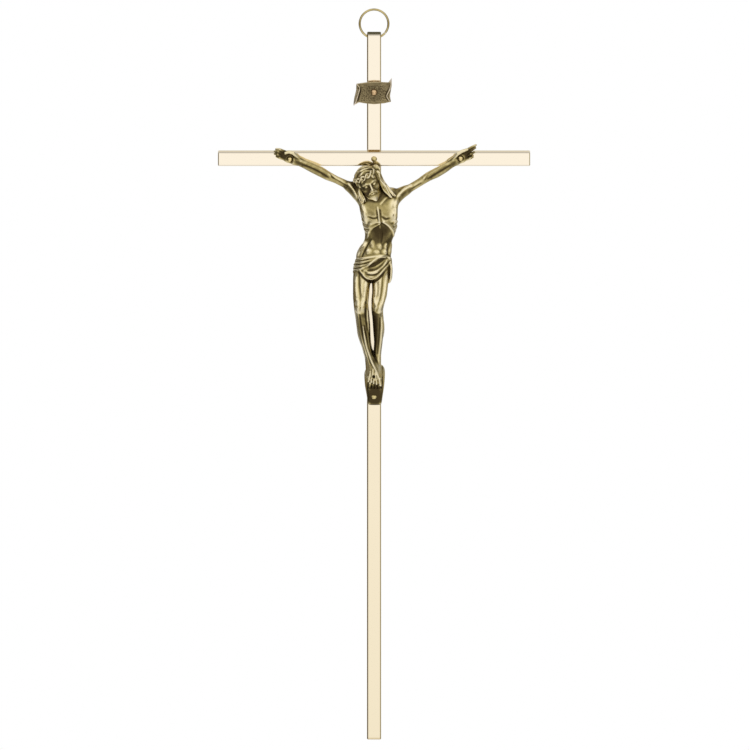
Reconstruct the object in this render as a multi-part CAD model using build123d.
from build123d import *
import os
from math import pi, sqrt

# Slim wall crucifix that hangs from a nail by a loose wire ring.
# Two square brass bars are housed into each other and riveted.  A cast figure is riveted
# to the bars at both palms and at its foot block, and a cast title scroll is riveted to
# the upright above it.  The ring runs through a cross hole near the top of the upright.
# Frame: the origin is the centre of the ring's eye, +Z is up, -Y is the front and +X is
# the viewer's right, so "left" is the viewer's left.  Millimetres and degrees.

# Cross bars
UPRIGHT_LENGTH = 254.0
UPRIGHT_WIDTH = 5.0
UPRIGHT_DEPTH = 5.0
CROSSBAR_LENGTH = 111.0
CROSSBAR_HEIGHT = 5.0
CROSSBAR_DEPTH = 5.0
CROSSBAR_DROP = 44.6  # upright's top end to the crossbar's centreline
HOUSING_DEPTH = 1.5  # how far the crossbar is let into the upright
HOUSING_FIT = 0.03  # play on each side of the crossbar in its housing
BAR_EDGE_RADIUS = 0.45
BAR_END_CHAMFER = 0.3

# Hanging ring
RING_OUTSIDE = 11.0
RING_WIRE = 0.8
RING_SEAM = 0.15  # gap between the two cut ends of the wire
RING_SEAM_ANGLE = -40.0  # where the ends meet, from +X towards +Z
RING_PLAY = 0.13  # clearance round the wire in its hole
RING_HOLE_LAND = 0.75  # metal left above the hole

# Rivets
RIVET_HEAD = 2.1
RIVET_HEAD_HEIGHT = 0.7
HAND_RIVET_HEAD = 1.7  # the two palm rivets have smaller heads
HAND_RIVET_HEAD_HEIGHT = 0.55
RIVET_SHANK = 1.1
RIVET_TAIL = 1.8
RIVET_TAIL_DEPTH = 0.5
RIVET_FIT = 0.04  # clearance round a shank and its tail
SPOTFACE_MARGIN = 0.3  # how far a spotface reaches past the rivet head
SPOTFACE_DEPTH = 0.25
# Hammered dome of a rivet head: radius share of the head's, then height share of its height.
DOME_SHARES = ((1.00, 0.00), (0.76, 0.68), (0.00, 1.00))

# Title scroll
TITLE_WIDTH = 12.4
TITLE_HEIGHT = 6.9
TITLE_THICKNESS = 1.1
TITLE_BOW = 0.8  # how far the middle of the panel stands forward of its ends
TITLE_CROWN = 0.45  # rise of the top edge, and fall of the bottom edge, in the middle
TITLE_DROP = 20.8  # upright's top end to the middle of the scroll
TITLE_STANDOFF = 1.7  # height of the boss behind the panel
TITLE_BOSS = 3.4
TITLE_TIP_REACH = 0.7  # how far the two pointed corners stand out sideways
TITLE_TIP_RISE = 1.5  # how far they stand out above and below
TITLE_FOLD_WIDTH = 1.5
TITLE_FOLD_THICKNESS = 1.35  # of the turned ends, in front level with the panel's middle

# Cast figure
FIGURE_DROP = 85.3  # crossbar's centreline to the foot rivet
HAND_SPACING = 60.7
HAND_OFFSET = 0.43  # middle of the two palms from the upright's centreline
LEFT_HAND_RISE = 0.85  # middle of each palm above the crossbar's centreline
RIGHT_HAND_RISE = 1.2
HAND_RIVET_DROP = 0.68  # palm rivet below the middle of the palm
HAND_WIDTH = 4.1
HAND_THICKNESS = 1.8
HAND_REACH = 6.0  # middle of the palm to the longest fingertip
FINGER_WIDTH = 1.0
HAND_BOSS = 2.8
HAND_BOSS_HEIGHT = 0.5
BODY_STANDOFF = 2.6  # body's axis in front of the crossbar's front face
CHEST_WIDTH = 13.6
CHEST_DEPTH = 8.4
ARM_WIDTH = 4.2
HEAD_HEIGHT = 13.0
HEAD_WIDTH = 8.6
HEAD_DEPTH = 9.6
HEAD_TILT = 18.0  # towards the viewer's left
HEAD_BOW = 16.0  # forwards
HEAD_FORWARD = 4.0  # head's middle in front of the body's axis
CROWN_WIRE = 1.5
TOE_WIDTH = 1.1
FOOT_BOARD_WIDTH = 7.3
FOOT_BOARD_FOOT = 5.4  # the board's width at its lower end
FOOT_BOARD_HEIGHT = 14.4
FOOT_BOARD_DEPTH = 2.4
FOOT_STEP_WIDTH = 5.2
FOOT_STEP_HEIGHT = 6.3
FOOT_STEP_DEPTH = 4.6  # front of the step from the upright's face
FOOT_STEP_TAIL = 2.8  # foot rivet to the lower end of the step
FOOT_STEP_RADIUS = 0.9

CUT_OVERRUN = 1.0  # how far cutting tools run past the faces that they cut
ROD_SIDES = 6  # of fingers, toes and the band round the brow
WIRE_SIDES = 8  # of the ring's wire
LIMB_SIDES = 12  # of arms, legs, palms, locks of hair and hanging cloth
BODY_SIDES = 20  # of the torso, head, hair and wound cloth

# Torso: drop share of FIGURE_DROP, side and half width shares of CHEST_WIDTH, then lean
# (to the back) and half depth shares of CHEST_DEPTH.
TORSO_SHARES = (
    (0.090, -0.06, 0.17, -0.20, 0.26),
    (0.135, 0.07, 0.36, -0.06, 0.37),
    (0.172, 0.10, 0.52, 0.00, 0.46),
    (0.214, 0.116, 0.49, -0.02, 0.50),
    (0.256, 0.143, 0.463, -0.03, 0.50),
    (0.298, 0.165, 0.412, -0.02, 0.44),
    (0.327, 0.130, 0.379, 0.00, 0.38),
    (0.361, 0.052, 0.40, 0.00, 0.37),
    (0.4035, 0.012, 0.455, 0.00, 0.42),
    (0.455, -0.025, 0.475, 0.00, 0.45),
    (0.505, -0.05, 0.40, 0.00, 0.38),
)
# Hollow of the belly under the ribs: columns as for the torso, then half height as a
# share of FIGURE_DROP.
BELLY_SHARES = (0.312, 0.145, 0.40, -0.76, 0.375, 0.075)
# Legs: columns as for the torso, then the share of the way back to the foot board.
LEFT_LEG_SHARES = (
    (0.455, -0.25, 0.20, 0.00, 0.30, 0.00),
    (0.515, -0.310, 0.222, -0.03, 0.36, 0.00),
    (0.590, -0.336, 0.214, -0.07, 0.33, 0.00),
    (0.645, -0.320, 0.192, -0.14, 0.29, 0.00),
    (0.682, -0.307, 0.168, -0.18, 0.27, 0.00),
    (0.735, -0.272, 0.160, -0.16, 0.27, 0.22),
    (0.785, -0.190, 0.143, -0.19, 0.24, 0.55),
    (0.846, -0.075, 0.125, -0.24, 0.19, 0.90),
    (0.895, -0.010, 0.150, -0.22, 0.18, 1.00),
    (0.930, 0.012, 0.180, -0.12, 0.14, 1.00),
)
RIGHT_LEG_SHARES = (
    (0.455, 0.22, 0.20, 0.00, 0.30, 0.00),
    (0.515, 0.195, 0.205, -0.03, 0.36, 0.00),
    (0.590, 0.143, 0.180, -0.07, 0.33, 0.00),
    (0.645, 0.106, 0.165, -0.14, 0.29, 0.00),
    (0.682, 0.103, 0.160, -0.18, 0.27, 0.00),
    (0.735, 0.124, 0.132, -0.12, 0.27, 0.22),
    (0.785, 0.105, 0.105, -0.07, 0.24, 0.55),
    (0.846, 0.105, 0.095, -0.04, 0.18, 0.90),
    (0.890, 0.130, 0.095, -0.04, 0.16, 1.00),
)
# Toes of the upper foot: side share of CHEST_WIDTH and tip share of FIGURE_DROP.
TOE_SHARES = (
    (-0.125, 0.948),
    (-0.060, 0.952),
    (0.005, 0.956),
    (0.072, 0.960),
    (0.150, 0.962),
)
TOE_ROOT_SHARE = 0.920  # of FIGURE_DROP
# Shoulders, where the arms start: drop, side and lean shares.
LEFT_SHOULDER_SHARES = (0.126, -0.50, 0.00)
RIGHT_SHOULDER_SHARES = (0.145, 0.62, 0.00)
# Arms: share of the way from shoulder to wrist, then radius as a share of ARM_WIDTH.
ARM_SHARES = (
    (-0.16, 0.40),
    (-0.03, 0.48),
    (0.08, 0.43),
    (0.20, 0.345),
    (0.34, 0.315),
    (0.48, 0.38),
    (0.62, 0.43),
    (0.76, 0.41),
    (0.90, 0.35),
    (1.00, 0.30),
    (1.10, 0.28),
)
WRIST_SHARE = 0.62  # of HAND_REACH, from the middle of the palm back to the wrist
# Palm: share of HAND_REACH past the palm's middle, half width share of HAND_WIDTH and half
# thickness share of HAND_THICKNESS.
PALM_SHARES = (
    (-0.70, 0.34, 0.62),
    (-0.32, 0.46, 0.55),
    (0.00, 0.54, 0.50),
    (0.34, 0.52, 0.46),
    (0.48, 0.42, 0.34),
)
# Fingers: place across the palm as a share of HAND_WIDTH, reach share of HAND_REACH.
FINGER_SHARES = ((-0.37, 0.82), (-0.13, 0.95), (0.12, 1.00), (0.36, 0.90))
FINGER_ROOT_SHARE = 0.30  # of HAND_REACH
TIP_SHARE = 0.72  # width of a finger or toe at its tip, of its width at the root
LEFT_HAND_TURN = -2.0  # turn of each hand from the line of its arm
RIGHT_HAND_TURN = -6.0
# Head: height share of HEAD_HEIGHT from its middle, side share of HEAD_WIDTH, forward
# share of HEAD_DEPTH, then half width and half depth shares.
HEAD_SHARES = (
    (-0.50, 0.00, 0.20, 0.14, 0.14),
    (-0.42, 0.00, 0.15, 0.27, 0.28),
    (-0.24, 0.00, 0.06, 0.40, 0.42),
    (0.00, 0.00, 0.00, 0.49, 0.50),
    (0.20, 0.00, 0.00, 0.50, 0.51),
    (0.36, 0.00, 0.00, 0.42, 0.42),
    (0.46, 0.00, 0.00, 0.26, 0.26),
    (0.50, 0.00, 0.00, 0.10, 0.10),
)
HEAD_PLACE_SHARES = (0.093, -0.140)  # drop and side of the head's middle
CROWN_HEIGHT_SHARE = 0.16  # of HEAD_HEIGHT, above the head's middle
CROWN_RADIUS_SHARE = 0.51  # of HEAD_DEPTH
# Hair: columns as for the head.
HAIR_BACK_SHARES = (
    (0.44, 0.00, -0.05, 0.30, 0.28),
    (0.20, 0.00, -0.08, 0.58, 0.48),
    (-0.10, 0.04, -0.12, 0.60, 0.46),
    (-0.40, 0.14, -0.14, 0.58, 0.40),
    (-0.62, 0.24, -0.16, 0.46, 0.28),
)
LEFT_LOCK_SHARES = (
    (0.06, -0.46, 0.02, 0.10, 0.20),
    (-0.20, -0.47, 0.06, 0.13, 0.20),
    (-0.48, -0.36, 0.06, 0.13, 0.18),
    (-0.74, -0.22, 0.04, 0.05, 0.08),
)
RIGHT_LOCK_SHARES = (
    (0.12, 0.47, 0.02, 0.10, 0.20),
    (-0.15, 0.60, 0.04, 0.15, 0.20),
    (-0.42, 0.86, 0.06, 0.16, 0.18),
    (-0.64, 1.12, 0.06, 0.06, 0.08),
)
# Loincloth, wound in rolls that rise to the right hip and sag in front: drop, side and
# half width, lean and half depth shares as for the torso, then the rise to the right and
# the sag in front, both in degrees.
CLOTH_SHARES = (
    (0.392, 0.012, 0.440, 0.00, 0.42, 6.0, 2.0),
    (0.406, 0.000, 0.485, 0.00, 0.47, 7.0, 4.0),
    (0.420, -0.006, 0.470, 0.00, 0.45, 9.0, 8.0),
    (0.434, -0.016, 0.505, 0.00, 0.49, 11.0, 12.0),
    (0.446, -0.022, 0.480, 0.00, 0.47, 13.0, 16.0),
    (0.458, -0.030, 0.510, 0.00, 0.50, 14.0, 20.0),
    (0.468, -0.034, 0.485, 0.00, 0.48, 14.0, 24.0),
    (0.480, -0.040, 0.500, 0.00, 0.50, 14.0, 27.0),
)
# Knot on the right hip, then the loose end of the cloth below it: columns as for the torso.
KNOT_SHARES = (
    (0.390, 0.440, 0.030, -0.16, 0.08),
    (0.399, 0.448, 0.070, -0.18, 0.15),
    (0.417, 0.448, 0.070, -0.18, 0.15),
    (0.426, 0.440, 0.030, -0.16, 0.08),
)
CLOTH_END_SHARES = (
    (0.405, 0.440, 0.070, -0.12, 0.18),
    (0.460, 0.445, 0.075, -0.10, 0.20),
    (0.500, 0.430, 0.060, -0.08, 0.16),
    (0.535, 0.395, 0.030, -0.06, 0.08),
)

# Places worked out from the sizes
ring_radius = (RING_OUTSIDE - RING_WIRE) / 2
ring_sag = ring_radius - sqrt(ring_radius**2 - (UPRIGHT_WIDTH / 2) ** 2)
ring_hole_radius = (RING_WIRE + ring_sag) / 2 + RING_PLAY
ring_hole_z = ring_sag / 2 - ring_radius

upright_top = ring_hole_z + ring_hole_radius + RING_HOLE_LAND
upright_front = -UPRIGHT_DEPTH / 2
upright_back = UPRIGHT_DEPTH / 2
crossbar_z = upright_top - CROSSBAR_DROP
crossbar_back = upright_front + HOUSING_DEPTH
crossbar_front = crossbar_back - CROSSBAR_DEPTH

title_z = upright_top - TITLE_DROP
title_front = upright_front - TITLE_STANDOFF - TITLE_THICKNESS
title_seat = title_front + SPOTFACE_DEPTH

palm_y = crossbar_front - HAND_BOSS_HEIGHT - HAND_THICKNESS / 2
hand_seat = palm_y - HAND_THICKNESS / 2 + SPOTFACE_DEPTH
left_palm = Vector(HAND_OFFSET - HAND_SPACING / 2, palm_y, crossbar_z + LEFT_HAND_RISE)
right_palm = Vector(HAND_OFFSET + HAND_SPACING / 2, palm_y, crossbar_z + RIGHT_HAND_RISE)

body_y = crossbar_front - BODY_STANDOFF
foot_z = crossbar_z - FIGURE_DROP
foot_seat = upright_front - FOOT_STEP_DEPTH
foot_board_front = upright_front - FOOT_BOARD_DEPTH
foot_step_bottom = foot_z - FOOT_STEP_TAIL


# Shapes used by several pieces


def box_between(low, high):
    """A box from its lowest to its highest corner."""
    size = Vector(high) - Vector(low)
    return Pos((Vector(low) + Vector(high)) / 2) * Box(size.X, size.Y, size.Z)


def slab(outline, front, back):
    """A closed outline, drawn seen from the front on y = 0, as a slab between two depths."""
    return Pos(0, front, 0) * extrude(make_face(outline), amount=back - front, dir=(0, 1, 0))


def turned(points, x, z):
    """A body turned about an axis along Y through (x, z), from (radius, y) points."""
    outline = Polyline(*points, close=True)
    return Pos(x, 0, z) * revolve(make_face(outline), Axis.Y)


def rod(start, end, width):
    """A six-sided rod that tapers to its tip, as a finger or a toe."""
    path = Vector(end) - Vector(start)
    root = Plane(origin=start, z_dir=path) * RegularPolygon(width / 2, ROD_SIDES)
    tip = Plane(origin=end, z_dir=path) * RegularPolygon(TIP_SHARE * width / 2, ROD_SIDES)
    return loft([root, tip], ruled=True)


def egg(middle, half_width, half_depth, half_height):
    """An ellipsoid."""
    ratios = (1, half_depth / half_width, half_height / half_width)
    return Pos(middle) * scale(Sphere(half_width), by=ratios)


# Rivets


def rivet_walls(seat, tail_end, grown=0.0):
    """Half section of a shank and its countersunk tail, from the head's seat backwards."""
    shank = RIVET_SHANK / 2 + grown
    tail = RIVET_TAIL / 2 + grown
    return [(shank, seat), (shank, tail_end - RIVET_TAIL_DEPTH), (tail, tail_end)]


def rivet(x, z, seat, tail_end, head=RIVET_HEAD, height=RIVET_HEAD_HEIGHT):
    """A rivet set from the front, its head hammered round and its tail flush with the back."""
    dome = [(radius * head / 2, seat - rise * height) for radius, rise in DOME_SHARES]
    return turned([*dome, (0, tail_end), *reversed(rivet_walls(seat, tail_end))], x, z)


def palm_rivet(palm):
    """The rivet that holds a palm to the crossbar."""
    z = palm.Z - HAND_RIVET_DROP
    return rivet(palm.X, z, hand_seat, crossbar_back, HAND_RIVET_HEAD, HAND_RIVET_HEAD_HEIGHT)


def rivet_hole(x, z, front, tail_end):
    """The cutter for a rivet's shank and tail, with its clearance."""
    start = front - CUT_OVERRUN
    end = tail_end + CUT_OVERRUN
    walls = rivet_walls(start, tail_end, RIVET_FIT)
    return turned([*walls, (RIVET_TAIL / 2 + RIVET_FIT, end), (0, end), (0, start)], x, z)


def shank_hole(x, z, front, back):
    """The cutter for a plain rivet hole."""
    radius = RIVET_SHANK / 2 + RIVET_FIT
    start = front - CUT_OVERRUN
    end = back + CUT_OVERRUN
    return turned([(0, start), (radius, start), (radius, end), (0, end)], x, z)


def spotface(x, z, seat, head=RIVET_HEAD):
    """The cutter for a flat seat under a rivet head, open to the front."""
    radius = head / 2 + SPOTFACE_MARGIN
    front = seat - CHEST_DEPTH
    return turned([(0, front), (radius, front), (radius, seat), (0, seat)], x, z)


# Cross


def ease_bar(bar, axis):
    """A bar with its ends eased and its long edges rounded."""
    bar = chamfer(bar.faces().filter_by(axis).edges(), BAR_END_CHAMFER)
    return fillet(bar.edges().filter_by(axis), BAR_EDGE_RADIUS)


def upright_bar():
    half = UPRIGHT_WIDTH / 2
    bar = box_between(
        (-half, upright_front, upright_top - UPRIGHT_LENGTH), (half, upright_back, upright_top)
    )
    bar = ease_bar(bar, Axis.Z)
    side = half + CUT_OVERRUN
    half_housing = CROSSBAR_HEIGHT / 2 + HOUSING_FIT
    housing = box_between(
        (-side, upright_front - CUT_OVERRUN, crossbar_z - half_housing),
        (side, crossbar_back, crossbar_z + half_housing),
    )
    ring_hole = Rot(0, 90, 0) * Cylinder(ring_hole_radius, 2 * side)
    return bar - [
        housing,
        Pos(0, 0, ring_hole_z) * ring_hole,
        rivet_hole(0, crossbar_z, crossbar_back, upright_back),
        rivet_hole(0, title_z, upright_front, upright_back),
        rivet_hole(0, foot_z, upright_front, upright_back),
    ]


def crossbar():
    half = CROSSBAR_LENGTH / 2
    bar = box_between(
        (-half, crossbar_front, crossbar_z - CROSSBAR_HEIGHT / 2),
        (half, crossbar_back, crossbar_z + CROSSBAR_HEIGHT / 2),
    )
    bar = ease_bar(bar, Axis.X)
    return bar - [
        shank_hole(0, crossbar_z, crossbar_front, crossbar_back),
        rivet_hole(left_palm.X, left_palm.Z - HAND_RIVET_DROP, crossbar_front, crossbar_back),
        rivet_hole(right_palm.X, right_palm.Z - HAND_RIVET_DROP, crossbar_front, crossbar_back),
    ]


def hanging_ring():
    """A round wire bent to a ring, its two cut ends nearly meeting."""
    seam_turn = 360 * RING_SEAM / (2 * pi * ring_radius)
    section = Pos(ring_radius, 0, 0) * RegularPolygon(RING_WIRE / 2, WIRE_SIDES)
    wire = revolve(section, Axis.Y, revolution_arc=360 - seam_turn)
    return Rot(0, -RING_SEAM_ANGLE, 0) * wire


# Title scroll


def title_outline():
    """The scroll seen from the front: bowed edges and two pointed, turned corners."""
    x = TITLE_WIDTH / 2
    z = TITLE_HEIGHT / 2
    fold_x = x - TITLE_FOLD_WIDTH
    tip = (x + TITLE_TIP_REACH, 0, z + TITLE_TIP_RISE)
    low_tip = (-x - TITLE_TIP_REACH, 0, -z - TITLE_TIP_RISE)
    top = ThreePointArc((-x, 0, z), (0, 0, z + TITLE_CROWN), (fold_x, 0, z))
    right = Polyline((fold_x, 0, z), tip, (x, 0, -z))
    bottom = ThreePointArc((x, 0, -z), (0, 0, -z - TITLE_CROWN), (-fold_x, 0, -z))
    left = Polyline((-fold_x, 0, -z), low_tip, (-x, 0, z))
    return [*top.edges(), *right.edges(), *bottom.edges(), *left.edges()]


def title_fold():
    """The turned strip along the left end, where the bowed panel falls away behind it."""
    x = TITLE_WIDTH / 2
    z = TITLE_HEIGHT / 2
    corners = [
        (-x, 0, z - TITLE_FOLD_WIDTH),
        (TITLE_FOLD_WIDTH - x, 0, z - TITLE_FOLD_WIDTH),
        (-x - TITLE_TIP_REACH, 0, -z - TITLE_TIP_RISE),
    ]
    return slab(Polyline(*corners, close=True), title_front, title_front + TITLE_FOLD_THICKNESS)


def title_plate():
    """The bowed panel, cut to its outline."""
    reach = TITLE_WIDTH / 2 + TITLE_TIP_REACH
    height = TITLE_HEIGHT + 2 * TITLE_TIP_RISE
    ends_y = title_front + TITLE_BOW
    front = ThreePointArc((-reach, ends_y), (0, title_front), (reach, ends_y))
    back = Pos(0, TITLE_THICKNESS) * front
    left = Line(front @ 0, back @ 0)
    right = Line(front @ 1, back @ 1)
    section = make_face([*front.edges(), *right.edges(), *back.edges(), *left.edges()])
    plate = Pos(0, 0, -height / 2) * extrude(section, amount=height, dir=(0, 0, 1))
    return plate & slab(title_outline(), title_front - CUT_OVERRUN, upright_front)


def title_scroll():
    fold = title_fold()
    middle = title_front + TITLE_THICKNESS / 2
    radius = TITLE_BOSS / 2
    boss = turned([(0, middle), (radius, middle), (radius, upright_front), (0, upright_front)], 0, 0)
    other_fold = mirror(mirror(fold, Plane.YZ), Plane.XY)
    scroll = title_plate() + [fold, other_fold, boss]
    hole = shank_hole(0, 0, title_seat, upright_front)
    return Pos(0, 0, title_z) * (scroll - [hole, spotface(0, 0, title_seat)])


# Cast figure


def body_place(drop, side, lean, way_to_foot=0.0):
    """A point of the body from its shares."""
    axis_y = body_y + (foot_board_front - body_y) * way_to_foot
    return Vector(side * CHEST_WIDTH, axis_y + lean * CHEST_DEPTH, crossbar_z - drop * FIGURE_DROP)


def oval(half_width, half_depth, sides=LIMB_SIDES):
    """A many-sided ellipse."""
    return scale(RegularPolygon(half_width, sides), by=(1, half_depth / half_width, 1))


def body_loft(rows, sides=LIMB_SIDES):
    """A loft through level sections, from rows of body shares."""
    sections = []
    for drop, side, half_width, lean, half_depth, *way_to_foot in rows:
        place = Pos(body_place(drop, side, lean, *way_to_foot))
        sections.append(place * oval(half_width * CHEST_WIDTH, half_depth * CHEST_DEPTH, sides))
    return loft(sections, ruled=True)


def body_egg(row):
    """An ellipsoid from a row of body shares that ends with its half height."""
    drop, side, half_width, lean, half_depth, half_height = row
    middle = body_place(drop, side, lean)
    return egg(middle, half_width * CHEST_WIDTH, half_depth * CHEST_DEPTH, half_height * FIGURE_DROP)


def head_frame():
    drop, side = HEAD_PLACE_SHARES
    middle = body_place(drop, side, 0) - Vector(0, HEAD_FORWARD, 0)
    return Pos(middle) * Rot(0, -HEAD_TILT, 0) * Rot(HEAD_BOW, 0, 0)


def head_loft(rows, sides=LIMB_SIDES):
    """A loft through sections square to the head's axis, from rows of head shares."""
    sections = []
    for height, side, forward, half_width, half_depth in rows:
        place = Pos(side * HEAD_WIDTH, -forward * HEAD_DEPTH, height * HEAD_HEIGHT)
        sections.append(place * oval(half_width * HEAD_WIDTH, half_depth * HEAD_DEPTH, sides))
    return head_frame() * loft(sections, ruled=True)


def crown():
    """The band round the brow."""
    section = Pos(CROWN_RADIUS_SHARE * HEAD_DEPTH, 0, 0) * RegularPolygon(CROWN_WIRE / 2, ROD_SIDES)
    band = revolve(Plane.XZ * section, Axis.Z)
    return head_frame() * Pos(0, 0, CROWN_HEIGHT_SHARE * HEAD_HEIGHT) * band


def arm(shoulder_shares, palm):
    """An arm lofted along the line from its shoulder to its wrist."""
    shoulder = body_place(*shoulder_shares)
    way = palm - shoulder
    length = way.length - WRIST_SHARE * HAND_REACH
    frame = Plane(origin=shoulder, z_dir=way).location
    sections = []
    for share, radius in ARM_SHARES:
        sections.append(frame * Pos(0, 0, share * length) * RegularPolygon(radius * ARM_WIDTH, LIMB_SIDES))
    return loft(sections, ruled=True)


def hand(shoulder_shares, palm, turn):
    """A palm with four fingers and a boss that seats on the crossbar."""
    way = palm - body_place(*shoulder_shares)
    level = Vector(way.X, 0, way.Z).rotate(Axis.Y, turn)
    across_palm = Vector(0, 1, 0).cross(level)
    frame = Plane(origin=palm, x_dir=across_palm, z_dir=level).location
    sections = []
    for reach, half_width, half_thickness in PALM_SHARES:
        place = frame * Pos(0, 0, reach * HAND_REACH)
        sections.append(place * oval(half_width * HAND_WIDTH, half_thickness * HAND_THICKNESS))
    fingers = []
    for across, reach in FINGER_SHARES:
        root = (across * HAND_WIDTH, 0, FINGER_ROOT_SHARE * HAND_REACH)
        tip = (across * HAND_WIDTH, 0, reach * HAND_REACH)
        fingers.append(frame * rod(root, tip, FINGER_WIDTH))
    radius = HAND_BOSS / 2
    boss_section = [(0, palm_y), (radius, palm_y), (radius, crossbar_front), (0, crossbar_front)]
    boss = turned(boss_section, palm.X, palm.Z - HAND_RIVET_DROP)
    return [loft(sections, ruled=True), *fingers, boss]


def toes():
    lean = LEFT_LEG_SHARES[-1][3]
    rods = []
    for side, tip in TOE_SHARES:
        root = body_place(TOE_ROOT_SHARE, side, lean, 1)
        rods.append(rod(root, body_place(tip, side, lean, 1), TOE_WIDTH))
    return rods


def loincloth():
    """The wound cloth, with its knot and its loose end."""
    sections = []
    for drop, side, half_width, lean, half_depth, rise, sag in CLOTH_SHARES:
        place = Pos(body_place(drop, side, lean)) * Rot(0, -rise, 0) * Rot(sag, 0, 0)
        sections.append(place * oval(half_width * CHEST_WIDTH, half_depth * CHEST_DEPTH, BODY_SIDES))
    return [loft(sections, ruled=True), body_loft(KNOT_SHARES), body_loft(CLOTH_END_SHARES)]


def foot_block():
    """The tapered board behind the feet and the step that they stand on."""
    top = foot_step_bottom + FOOT_BOARD_HEIGHT
    corners = [
        (-FOOT_BOARD_FOOT / 2, 0, foot_step_bottom),
        (FOOT_BOARD_FOOT / 2, 0, foot_step_bottom),
        (FOOT_BOARD_WIDTH / 2, 0, top),
        (-FOOT_BOARD_WIDTH / 2, 0, top),
    ]
    board = slab(Polyline(*corners, close=True), foot_board_front, upright_front)
    half = FOOT_STEP_WIDTH / 2
    step = box_between(
        (-half, foot_seat, foot_step_bottom),
        (half, upright_front, foot_step_bottom + FOOT_STEP_HEIGHT),
    )
    lower_edges = step.edges().filter_by(Axis.Y).sort_by(Axis.Z)[:2]
    return [board, fillet(lower_edges, FOOT_STEP_RADIUS)]


def corpus():
    """The figure with its foot block, one casting."""
    torso = body_loft(TORSO_SHARES, BODY_SIDES) - body_egg(BELLY_SHARES)
    figure = torso + [
        arm(LEFT_SHOULDER_SHARES, left_palm),
        arm(RIGHT_SHOULDER_SHARES, right_palm),
        *hand(LEFT_SHOULDER_SHARES, left_palm, LEFT_HAND_TURN),
        *hand(RIGHT_SHOULDER_SHARES, right_palm, RIGHT_HAND_TURN),
        head_loft(HEAD_SHARES, BODY_SIDES),
        head_loft(HAIR_BACK_SHARES, BODY_SIDES),
        head_loft(LEFT_LOCK_SHARES),
        head_loft(RIGHT_LOCK_SHARES),
        crown(),
        *loincloth(),
        body_loft(LEFT_LEG_SHARES),
        body_loft(RIGHT_LEG_SHARES),
        *toes(),
        *foot_block(),
    ]
    cuts = [shank_hole(0, foot_z, foot_seat, upright_front)]
    for palm in (left_palm, right_palm):
        rivet_z = palm.Z - HAND_RIVET_DROP
        cuts.append(spotface(palm.X, rivet_z, hand_seat, HAND_RIVET_HEAD))
        cuts.append(shank_hole(palm.X, rivet_z, hand_seat, crossbar_front))
    return figure - cuts


def main():
    os.makedirs("parts", exist_ok=True)
    pieces = {
        "upright_bar": upright_bar(),
        "crossbar": crossbar(),
        "crossing_rivet": rivet(0, crossbar_z, crossbar_front, upright_back),
        "hanging_ring": hanging_ring(),
        "title_scroll": title_scroll(),
        "title_rivet": rivet(0, title_z, title_seat, upright_back),
        "corpus": corpus(),
        "left_hand_rivet": palm_rivet(left_palm),
        "right_hand_rivet": palm_rivet(right_palm),
        "foot_rivet": rivet(0, foot_z, foot_seat, upright_back),
    }
    for name, piece in pieces.items():
        export_step(piece, f"parts/{name}.step")


if __name__ == "__main__":
    main()
